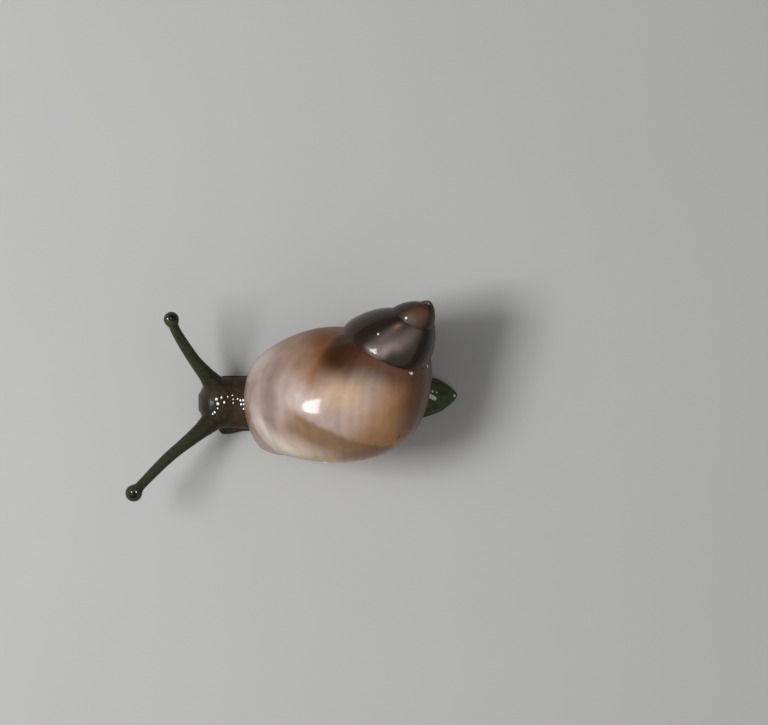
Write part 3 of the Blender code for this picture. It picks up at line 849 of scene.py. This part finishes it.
def net_surface(field):
    """The zero surface of a field as quads: one point in each cell that it crosses.

    The point is the mean of the crossings of the cell's edges, each found by dividing the edge
    in the ratio of the values at its ends. Each crossed edge gives one quad of the four cells
    round it.
    """
    inside = field < 0
    owners, crossings, rings = [], [], []
    for axis in range(3):
        near = [slice(1, -1)] * 3
        beyond = [slice(1, -1)] * 3
        near[axis] = slice(0, -1)
        beyond[axis] = slice(1, None)
        place = np.argwhere(inside[tuple(near)] != inside[tuple(beyond)])
        lift = np.ones(3, dtype=int)
        lift[axis] = 0
        place = place + lift
        step = 1 - lift
        start = field[tuple(place.T)]
        end = field[tuple((place + step).T)]
        crossing = place.astype(float)
        crossing[:, axis] += start / (start - end)
        second, third = (axis + 1) % 3, (axis + 2) % 3
        cells = np.repeat(place[:, None, :], 4, axis=1)
        cells[:, 1, second] -= 1
        cells[:, 2, second] -= 1
        cells[:, 2, third] -= 1
        cells[:, 3, third] -= 1
        ring = np.ravel_multi_index(tuple(np.moveaxis(cells, -1, 0)), field.shape)
        ring = np.where((start < 0)[:, None], ring, ring[:, ::-1])
        rings.append(ring)
        owners.append(ring.ravel())
        crossings.append(np.repeat(crossing, 4, axis=0))
    cells, index = np.unique(np.concatenate(owners), return_inverse=True)
    weight = np.bincount(index)
    places = np.concatenate(crossings)
    points = np.stack([np.bincount(index, places[:, i]) / weight for i in range(3)], axis=1)
    return points, np.searchsorted(cells, np.concatenate(rings))


def sample(field, points):
    """The field at points between its grid points, mixed from the eight round each."""
    base = np.clip(np.floor(points).astype(int), 0, np.array(field.shape) - 2)
    part = points - base
    total = np.zeros(len(points))
    for corner in np.ndindex(2, 2, 2):
        at = base + corner
        share = np.prod(np.where(corner, part, 1 - part), axis=1)
        total += share * field[tuple(at.T)]
    return total


def settle(field, points):
    """Moves points onto the zero surface: back along the slope by the value over the slope."""
    for _ in range(SETTLE_ROUNDS):
        rises = []
        for step in np.eye(3) * SETTLE_REACH:
            rises.append(sample(field, points + step) - sample(field, points - step))
        slope = np.stack(rises, axis=1) / (2 * SETTLE_REACH)
        size = np.maximum((slope**2).sum(axis=1), 1e-6)
        shift = sample(field, points)[:, None] * slope / size[:, None]
        points = points - np.clip(shift, -SETTLE_REACH, SETTLE_REACH)
    return points


def skin_tones(points):
    """Shares of each tone on the skin, from the place on the body."""
    x, y, z = points.T
    feeler = np.zeros(len(points))
    for route in UPPER_ROUTES.values():
        line = smooth_route(route, 40)
        near = np.full(len(points), FAR)
        share = np.zeros(len(points))
        for number, place in enumerate(line):
            gap = np.linalg.norm(points - place, axis=1)
            share = np.where(gap < near, number / (len(line) - 1), share)
            near = np.minimum(near, gap)
        feeler = np.maximum(feeler, fade(share, *FEELER_TONE) * (near < BULB_MARGIN))
    tail = fade(x, *TAIL_TONE)
    neck = fade(x, *NECK_START) * (1 - fade(x, *NECK_END)) * (1 - tail)
    sole = 1 - fade(z, *SOLE_TONE)
    collar = fade(z, *COLLAR_TONE) * (x > COLLAR_FRONT)
    return {"feeler": feeler, "tail": tail, "neck": neck, "sole": sole, "collar": collar}


def make_skin():
    """The soft body from feeler tip to tail tip as one closed surface."""
    field, axes = body_field()
    points, quads = net_surface(field)
    points = settle(field, points)
    places = np.array([axis[0] for axis in axes]) + points * SKIN_STEP
    skin = add_mesh("snail_skin", places, quads.tolist())
    for name, values in skin_tones(places).items():
        set_point_values(skin, name, values)
    return skin


# Beads, specks and eyes


def bead_mesh(name, spots, rows=12, columns=18):
    """Flattened balls: cosine and sine of latitude and longitude, the short way along an axis."""
    latitude = np.linspace(-math.pi / 2, math.pi / 2, rows + 2)[1:-1, None, None]
    longitude = np.linspace(0, 2 * math.pi, columns, endpoint=False)[None, :, None]
    quads, fans = tube_faces(rows, columns)
    points, faces = [], []
    for number, (middle, axis, radius, thick) in enumerate(spots):
        axis = np.array(axis) / np.linalg.norm(axis)
        first = np.cross(axis, (0.3, 1.0, 0.2))
        first /= np.linalg.norm(first)
        second = np.cross(axis, first)
        flat = np.cos(longitude) * first + np.sin(longitude) * second
        ball = radius * np.cos(latitude) * flat + thick * np.sin(latitude) * axis
        poles = np.array([-thick * axis, thick * axis])
        points.append(np.array(middle) + np.concatenate([ball.reshape(-1, 3), poles]))
        faces += (quads + number * (rows * columns + 2)).tolist()
        faces += (fans + number * (rows * columns + 2)).tolist()
    return add_mesh(name, np.concatenate(points), faces)


def skin_points():
    """The points of the skin's mesh in millimetres."""
    mesh = bpy.data.objects["snail_skin"].data
    values = np.empty(len(mesh.vertices) * 3, dtype=np.float32)
    mesh.vertices.foreach_get("co", values)
    return values.reshape(-1, 3) / MM


def on_shell(back, height):
    """A place on the outside of the shell and the direction out of it there."""
    wound = np.array([-back, -back + 1, -back])
    angle = np.radians([height, height, height + 1])
    radius, tall = whorl_outline(wound, angle, 0 * wound)
    place, along, up = around_axis(wound, radius, tall)
    out = np.cross(along - place, up - place)
    return place, out / np.linalg.norm(out)


def beads_on_skin(places, size):
    """Middle, short axis, radius and thickness of beads set into the top of the skin."""
    points = skin_points()
    beads = []
    for x, y, share in places:
        near = np.hypot(points[:, 0] - x, points[:, 1] - y) < SKIN_STEP * 1.2
        radius = share * size
        middle = (x, y, points[near, 2].max() - BEAD_SINK * radius)
        beads.append((middle, BEAD_AXIS, radius, BEAD_THICKNESS * radius))
    return beads


def specks_on_shell(places):
    """Middle, short axis, radius and thickness of specks that lie on the shell."""
    specks = []
    for back, height, radius in places:
        place, out = on_shell(back, height)
        specks.append((place, out, radius, SPECK_THICKNESS * radius))
    return specks


# Materials

# Patterns along the whorls, in repeats for a turn and for half a section
STREAKS = (45.0, 2.0)
FINE_LINES = (420.0, 1.0)
CROSS_LINES = (2.0, 90.0)

# Patterns on object coordinates, in repeats to the metre
SHELL_MOTTLE = 520.0
SHELL_SCUFFS = 7000.0
SKIN_CELLS = 4600.0
SKIN_BLOTCHES = 900.0
BEAD_BLOTCHES = 4000.0
EYE_BLOTCHES = 9000.0
FLOOR_BLOTCHES = 60.0

# Depths of bumps, and how far light goes into the surface
LINE_DEPTH = 0.00001
SCUFF_DEPTH = 0.00004
CELL_DEPTH = 0.00008
LIGHT_DEPTH = 0.0003

EYE_BLACK = (0.004, 0.004, 0.004, 1)
EYE_BROWN = (0.02, 0.014, 0.01, 1)


class Nodes:
    """A material's node tree with short calls for its nodes and links."""

    def __init__(self, name):
        self.material = bpy.data.materials.new(name)
        self.material.use_nodes = True
        self.tree = self.material.node_tree
        self.shader = self.tree.nodes["Principled BSDF"]

    def add(self, kind, options=None, **inputs):
        """A node with its options set and its sockets set or linked."""
        node = self.tree.nodes.new(kind)
        for name, value in (options or {}).items():
            setattr(node, name, value)
        for name, value in inputs.items():
            self.put(node, name, value)
        return node

    def put(self, node, name, value):
        """Sets or links a socket by its name, with _ for a space, or by _ and its number."""
        place = int(name[1:]) if name[0] == "_" else name.replace("_", " ")
        socket = node.inputs[place]
        if isinstance(value, bpy.types.NodeSocket):
            self.tree.links.new(value, socket)
        else:
            socket.default_value = value

    def finish(self, **values):
        """Sets or links the shader's own sockets."""
        for name, value in values.items():
            self.put(self.shader, name, value)
        return self.material

    def attribute(self, name, output="Fac"):
        return self.add("ShaderNodeAttribute", {"attribute_name": name}).outputs[output]

    def math(self, operation, first, second):
        return self.add("ShaderNodeMath", {"operation": operation}, _0=first, _1=second).outputs[0]

    def times(self, first, second):
        return self.math("MULTIPLY", first, second)

    def blend(self, share, first, second):
        """The first colour where the share is 0 and the second where it is 1."""
        node = self.add("ShaderNodeMix", {"data_type": "RGBA"}, _0=share, _6=first, _7=second)
        return node.outputs[2]

    def shade(self, colour, share):
        """The colour made darker or lighter by a factor."""
        node = self.add("ShaderNodeVectorMath", {"operation": "SCALE"}, _0=colour, Scale=share)
        return node.outputs[0]

    def steps(self, value, low, high, start=0.0, end=1.0):
        """From start to end as the value goes from low to high, smooth at both ends."""
        smooth = {"interpolation_type": "SMOOTHSTEP"}
        ends = {"_1": low, "_2": high, "_3": start, "_4": end}
        return self.add("ShaderNodeMapRange", smooth, _0=value, **ends).outputs[0]

    def place(self, x, y, z):
        return self.add("ShaderNodeCombineXYZ", _0=x, _1=y, _2=z).outputs[0]

    def object_place(self, scale=(1, 1, 1)):
        """The place on the object in metres, stretched along its axes."""
        coordinate = self.add("ShaderNodeTexCoord").outputs["Object"]
        return self.add("ShaderNodeMapping", Vector=coordinate, Scale=scale).outputs["Vector"]

    def noise(self, vector, scale, detail=2.0, rough=0.55):
        pattern = {"Scale": scale, "Detail": detail, "Roughness": rough}
        return self.add("ShaderNodeTexNoise", Vector=vector, **pattern).outputs["Fac"]

    def bump(self, height, distance, strength, normal=None):
        node = self.add("ShaderNodeBump", Height=height, Distance=distance, Strength=strength)
        if normal is not None:
            self.put(node, "Normal", normal)
        return node.outputs["Normal"]


def whorl_noise(nodes, repeats, offset, scale=1.0, detail=2.0, rough=0.55):
    """Noise drawn out along the whorls: by the growth angle and the section angle."""
    growth = nodes.times(nodes.attribute("growth"), repeats[0])
    spiral = nodes.times(nodes.attribute("spiral"), repeats[1])
    return nodes.noise(nodes.place(growth, spiral, offset), scale, detail, rough)


def shell_material():
    """Clear glossy horn in its pigments, some of them painted sheen, shade and glow, darkened in the
    suture as painted shade, with growth streaks and scuffs on the spire.
    """
    nodes = Nodes("horn")
    streaks = whorl_noise(nodes, STREAKS, 0.0, 1.6, 4.0, 0.6)
    mottle = nodes.noise(nodes.object_place(), SHELL_MOTTLE, 4.0, 0.6)
    colour = nodes.attribute("pigment", "Color")
    colour = nodes.shade(colour, nodes.steps(mottle, 0.30, 0.70, 0.86, 1.12))
    colour = nodes.shade(colour, nodes.steps(streaks, 0.25, 0.75, 0.95, 1.05))
    # Painted shade: darker within 0.05 mm of the suture, where the whorls meet
    colour = nodes.shade(colour, nodes.steps(nodes.attribute("seam"), 0.0, 0.05, 0.55, 1.0))

    scuffs = nodes.noise(nodes.object_place(), SHELL_SCUFFS)
    normal = nodes.bump(whorl_noise(nodes, FINE_LINES, 7.0), LINE_DEPTH, 0.15)
    normal = nodes.bump(whorl_noise(nodes, CROSS_LINES, 1.0), LINE_DEPTH, 0.2, normal)
    normal = nodes.bump(scuffs, SCUFF_DEPTH, nodes.times(nodes.attribute("worn"), 0.4), normal)
    return nodes.finish(
        Base_Color=colour,
        Normal=normal,
        Roughness=0.48,
        Specular_IOR_Level=0.15,
        Coat_Weight=0.6,
        Coat_Roughness=0.12,
        Coat_IOR=1.5,
        Subsurface_Weight=0.12,
        Subsurface_Radius=(1.0, 0.55, 0.35),
        Subsurface_Scale=LIGHT_DEPTH,
    )


def skin_material(finish):
    """Wet skin in small polygons: brown-olive, redder on the neck and greener on the tail, partly as
    painted light shining through it.
    """
    nodes = Nodes("wet_skin")
    grid = nodes.object_place((0.8, 1.0, 1.0))
    soft = {"feature": "SMOOTH_F1"}
    cells = nodes.add("ShaderNodeTexVoronoi", soft, Vector=grid, Scale=SKIN_CELLS, Smoothness=0.5)
    bead = cells.outputs["Distance"]
    blotches = nodes.noise(nodes.object_place(), SKIN_BLOTCHES, 3.0)
    feeler = nodes.attribute("feeler")

    colour = nodes.blend(nodes.steps(blotches, 0.35, 0.68), finish.skin, finish.skin_dark)
    colour = nodes.blend(nodes.times(nodes.attribute("neck"), 0.8), colour, finish.neck)
    colour = nodes.blend(feeler, colour, finish.feeler)
    # Greener on the tail: its own grey-green, partly painted light shining through it
    colour = nodes.blend(nodes.attribute("tail"), colour, finish.tail)
    colour = nodes.blend(nodes.attribute("collar"), colour, finish.collar)
    colour = nodes.blend(nodes.times(nodes.attribute("sole"), 0.7), colour, finish.sole)
    colour = nodes.blend(nodes.steps(bead, 0.45, 0.75, 0.0, 0.4), colour, finish.skin_dark)

    smoother = nodes.math("SUBTRACT", 1.0, nodes.times(feeler, 0.6))
    height = nodes.times(nodes.math("SUBTRACT", 1.0, bead), smoother)
    return nodes.finish(
        Base_Color=colour,
        Normal=nodes.bump(height, CELL_DEPTH, 0.5),
        Roughness=0.5,
        Specular_IOR_Level=0.1,
        Coat_Weight=0.2,
        Coat_Roughness=0.08,
        Coat_IOR=1.38,
        Subsurface_Weight=0.2,
        Subsurface_Radius=(1.0, 0.8, 0.5),
        Subsurface_Scale=LIGHT_DEPTH,
    )


def floor_material(colour):
    """A matt floor whose colour wanders by a few hundredths."""
    nodes = Nodes("pale_floor")
    share = nodes.noise(nodes.object_place(), FLOOR_BLOTCHES)
    darker = tuple(value * 0.94 for value in colour[:3]) + (1.0,)
    return nodes.finish(Base_Color=nodes.blend(share, colour, darker), Roughness=0.7)


def wet_material(name, colour):
    """Smooth and wet, in one colour that wanders a little."""
    nodes = Nodes(name)
    blotches = nodes.noise(nodes.object_place(), BEAD_BLOTCHES)
    colour = nodes.shade(tuple(colour)[:3], nodes.steps(blotches, 0.3, 0.7, 0.85, 1.1))
    return nodes.finish(Base_Color=colour, Roughness=0.3, Coat_Weight=1.0, Coat_Roughness=0.12)


def eye_material():
    """Glossy black that turns a little brown in places."""
    nodes = Nodes("eye_black")
    blotches = nodes.noise(nodes.object_place(), EYE_BLOTCHES)
    return nodes.finish(
        Base_Color=nodes.blend(blotches, EYE_BLACK, EYE_BROWN),
        Roughness=0.3,
        Specular_IOR_Level=0.1,
        Coat_Weight=0.15,
        Coat_Roughness=0.05,
    )


# Sizes and colours that can be changed


def colour_prop(name, description, default):
    """A colour with its alpha."""
    return bpy.props.FloatVectorProperty(
        name=name, description=description, subtype="COLOR", size=4, min=0.0, max=1.0, default=default
    )


def size_prop(name, description, default):
    """A length in metres."""
    return bpy.props.FloatProperty(
        name=name, description=description, unit="LENGTH", precision=5, default=default
    )


def power_prop(name, description, default):
    """A light's power in watts."""
    return bpy.props.FloatProperty(
        name=name, description=description, unit="POWER", min=0.0, precision=4, default=default
    )


class ShellSizes(bpy.types.PropertyGroup):
    wall: size_prop("Wall", "Thickness of the shell at its lip", 0.00014)
    thread: size_prop("Suture thread", "Height of the thin raised line under the suture", 0.00003)
    growth_lines: size_prop("Growth lines", "Height of the coarser growth lines", 0.000008)


class EyeSizes(bpy.types.PropertyGroup):
    eye_spot: size_prop("Eye spot", "Radius of the black spot in the tip of a feeler", 0.00024)


class MarkSizes(bpy.types.PropertyGroup):
    bead: size_prop("Bead", "Radius of the largest wet beads on the skin", 0.00013)


class StageSizes(bpy.types.PropertyGroup):
    camera_height: size_prop("Camera height", "From the snail up to the camera", 0.4)
    view_width: size_prop("View width", "Width of the picture at the snail", 0.0384)
    soft_power: power_prop("Soft box", "Power of the large soft light over the head", 0.04)
    core_power: power_prop("Core", "Power of the small bright light in the middle of the soft box", 0.14)
    fill_power: power_prop("Fill", "Power of the wide soft light over the tail", 0.06)
    sky: bpy.props.FloatProperty(
        name="Sky", description="Strength of the light all round", default=0.13, min=0.0
    )


class Finishes(bpy.types.PropertyGroup):
    cream: colour_prop("Cream", "Horn near the lip", (0.42, 0.31, 0.27, 1))
    lilac: colour_prop("Lilac", "Greyer growth bands near the lip", (0.235, 0.16, 0.135, 1))
    # Pale growth streaks and the lip's edge, and painted sheen round the highlight
    streak_and_sheen: colour_prop("Streak", "Palest growth streaks", (0.62, 0.52, 0.48, 1))
    rose: colour_prop("Rose", "Shoulder ahead of the dark patch", (0.27, 0.15, 0.09, 1))
    russet: colour_prop("Russet", "Top of that shoulder and the back", (0.17, 0.045, 0.006, 1))
    mauve: colour_prop("Mauve", "Under the suture", (0.14, 0.062, 0.038, 1))
    peach: colour_prop("Peach", "Above the keel band", (0.56, 0.38, 0.26, 1))
    ivory: colour_prop("Ivory", "Front of the base", (0.76, 0.66, 0.50, 1))
    # Growth bands by the lip, and the band under the widest line, which carries painted shade
    keel: colour_prop("Keel", "Band under the widest line", (0.24, 0.14, 0.075, 1))
    # Painted glow of light shining through the base of the shell
    olive: colour_prop("Olive", "Base of the shell", (0.48, 0.35, 0.19, 1))
    tan: colour_prop("Tan", "Back of the last whorl", (0.35, 0.19, 0.09, 1))
    orange: colour_prop("Orange", "Widest line at the back", (0.34, 0.13, 0.035, 1))
    umber: colour_prop("Umber", "Far side of the last whorl", (0.085, 0.024, 0.004, 1))
    amber: colour_prop("Amber", "Bright edge of the dark patch", (0.20, 0.080, 0.020, 1))
    chestnut: colour_prop("Chestnut", "Dark patch", (0.048, 0.015, 0.003, 1))
    chocolate: colour_prop("Chocolate", "Spire over the dark body", (0.016, 0.007, 0.004, 1))
    # Painted sheen and highlights on the spire
    painted_spire_sheen: colour_prop("Spire sheen", "Greyer patches of the spire", (0.26, 0.19, 0.175, 1))
    tip: colour_prop("Tip", "First whorl", (0.13, 0.058, 0.030, 1))
    skin: colour_prop("Skin", "Head and sides", (0.042, 0.037, 0.021, 1))
    skin_dark: colour_prop("Dark skin", "Grooves and blotches", (0.018, 0.017, 0.010, 1))
    neck: colour_prop("Neck", "Back of the neck", (0.048, 0.026, 0.012, 1))
    feeler: colour_prop("Feeler", "Upper feelers", (0.038, 0.046, 0.022, 1))
    # Grey-green, partly painted light shining through the tail
    tail: colour_prop("Tail", "Tail", (0.066, 0.092, 0.044, 1))
    collar: colour_prop("Collar", "Edge of the mantle", (0.20, 0.14, 0.10, 1))
    sole: colour_prop("Sole", "Sole and fringe", (0.16, 0.14, 0.10, 1))
    # Dried slime on the shell, and the painted glints on the tail and spire
    slime_and_glint_white: colour_prop("Speck", "Dried slime on the shell", (0.80, 0.80, 0.72, 1))
    floor: colour_prop("Floor", "Plain floor", (0.48, 0.48, 0.47, 1))


# Pieces


class SNAIL_OT_shell(bpy.types.Operator):
    """The shell with its growth lines and pigments"""

    bl_idname = "snail.shell"
    bl_label = "Shell"

    def execute(self, context):
        shell = make_shell(context.scene.snail_shell, context.scene.snail_finish)
        shell.data.materials.append(shell_material())
        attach(shell, "root")
        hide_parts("shell")
        return {"FINISHED"}


class SNAIL_OT_skin(bpy.types.Operator):
    """The whole soft body in one skin"""

    bl_idname = "snail.skin"
    bl_label = "Skin"

    def execute(self, context):
        skin = make_skin()
        skin.data.materials.append(skin_material(context.scene.snail_finish))
        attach(skin, "root")
        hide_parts(*FLESH_NODES)
        return {"FINISHED"}


class SNAIL_OT_eyes(bpy.types.Operator):
    """The black eye spots in the tips of the upper feelers"""

    bl_idname = "snail.eyes"
    bl_label = "Eyes"

    def execute(self, context):
        material = eye_material()
        radius = context.scene.snail_eyes.eye_spot / MM
        for side, (x, y) in EYE_PLACES.items():
            bulb = np.array(UPPER_ROUTES[side][-1])
            reach = BULB_RADIUS[side]
            rise = math.sqrt(reach**2 - (x - bulb[0]) ** 2 - (y - bulb[1]) ** 2)
            top = np.array([x, y, bulb[2] + rise])
            middle = bulb + (top - bulb) * (1 - EYE_SINK * radius / reach)
            eye = bead_mesh(f"eye_spot_{side}", [(middle, (0, 0, 1), radius, radius)])
            eye.data.materials.append(material)
            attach(eye, "root")
            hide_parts(f"eye_{side}")
        return {"FINISHED"}


class SNAIL_OT_marks(bpy.types.Operator):
    """Wet beads on the skin, pale beads on the tail as painted glints, and a few pale specks and a dark
    one on the shell, two pale ones as painted highlights
    """

    bl_idname = "snail.marks"
    bl_label = "Beads and specks"

    def execute(self, context):
        sizes = context.scene.snail_marks
        finish = context.scene.snail_finish
        groups = (
            ("wet_beads", beads_on_skin(BEAD_PLACES, sizes.bead / MM), finish.skin_dark),
            # Pale beads as painted glints on the tail
            ("tail_glint_beads", beads_on_skin(TAIL_GLINT_BEADS, sizes.bead / MM), finish.slime_and_glint_white),
            ("pale_specks", specks_on_shell(PALE_SPECKS), finish.slime_and_glint_white),
            ("dark_speck", specks_on_shell(DARK_SPECKS), finish.chestnut),
        )
        for name, spots, pigment in groups:
            piece = bead_mesh(name, spots)
            piece.data.materials.append(wet_material(name, pigment))
            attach(piece, "root")
        return {"FINISHED"}


def studio_light(name, direction, degrees, colour, power):
    """A square light that shines on the snail from a direction and looks so many degrees wide."""
    away = Vector(direction).normalized()
    data = bpy.data.lights.new(name, "AREA")
    data.shape = "SQUARE"
    data.size = 2 * LIGHT_DISTANCE * math.tan(math.radians(degrees / 2))
    data.energy = power
    data.color = colour
    light = bpy.data.objects.new(name, data)
    light.location = LIGHT_TARGET + away * LIGHT_DISTANCE
    light.rotation_mode = "QUATERNION"
    light.rotation_quaternion = away.to_track_quat("Z", "Y")
    bpy.context.scene.collection.objects.link(light)


class SNAIL_OT_stage(bpy.types.Operator):
    """A plain pale floor, soft studio light and the camera straight above"""

    bl_idname = "snail.stage"
    bl_label = "Stage"

    def execute(self, context):
        sizes = context.scene.snail_stage
        finish = context.scene.snail_finish
        corners = np.array([(-1, -1, 0), (1, -1, 0), (1, 1, 0), (-1, 1, 0)])
        floor = add_mesh("floor", corners * FLOOR_HALF, [(0, 1, 2, 3)])
        floor.data.materials.append(floor_material(tuple(finish.floor)))

        camera = bpy.data.cameras.new("camera")
        camera.sensor_width = SENSOR_WIDTH
        camera.lens = SENSOR_WIDTH * sizes.camera_height / sizes.view_width
        camera.clip_start = 0.01
        camera.clip_end = 10.0
        eye = bpy.data.objects.new("camera", camera)
        eye.location = VIEW_MIDDLE + Vector((0, 0, sizes.camera_height))
        context.scene.collection.objects.link(eye)
        context.scene.camera = eye
        context.scene.view_settings.view_transform = "Standard"

        powers = (sizes.soft_power, sizes.core_power, sizes.fill_power)
        for (name, light), power in zip(LIGHTS.items(), powers):
            studio_light(name, *light, power)
        world = bpy.data.worlds.new("studio")
        world.use_nodes = True
        ground = world.node_tree.nodes["Background"]
        ground.inputs["Color"].default_value = SKY_COLOUR
        ground.inputs["Strength"].default_value = sizes.sky
        context.scene.world = world
        return {"FINISHED"}


class SNAIL_PT_panel(bpy.types.Panel):
    """Lists the snail's pieces"""

    bl_idname = "SNAIL_PT_panel"
    bl_label = "Snail"
    bl_space_type = "VIEW_3D"
    bl_region_type = "UI"
    bl_category = "Snail"

    def draw(self, context):
        for operator in OPERATORS:
            self.layout.operator(operator.bl_idname)


GROUPS = {
    "snail_shell": ShellSizes,
    "snail_eyes": EyeSizes,
    "snail_marks": MarkSizes,
    "snail_stage": StageSizes,
    "snail_finish": Finishes,
}
OPERATORS = (SNAIL_OT_shell, SNAIL_OT_skin, SNAIL_OT_eyes, SNAIL_OT_marks, SNAIL_OT_stage)


def register():
    for item in (*GROUPS.values(), *OPERATORS, SNAIL_PT_panel):
        bpy.utils.register_class(item)
    for name, group in GROUPS.items():
        setattr(bpy.types.Scene, name, bpy.props.PointerProperty(type=group))


def unregister():
    for name in GROUPS:
        delattr(bpy.types.Scene, name)
    for item in reversed((*GROUPS.values(), *OPERATORS, SNAIL_PT_panel)):
        bpy.utils.unregister_class(item)


def main():
    register()
    bpy.ops.snail.stage()
    bpy.ops.snail.shell()
    bpy.ops.snail.skin()
    bpy.ops.snail.eyes()
    bpy.ops.snail.marks()


if __name__ == "__main__":
    main()
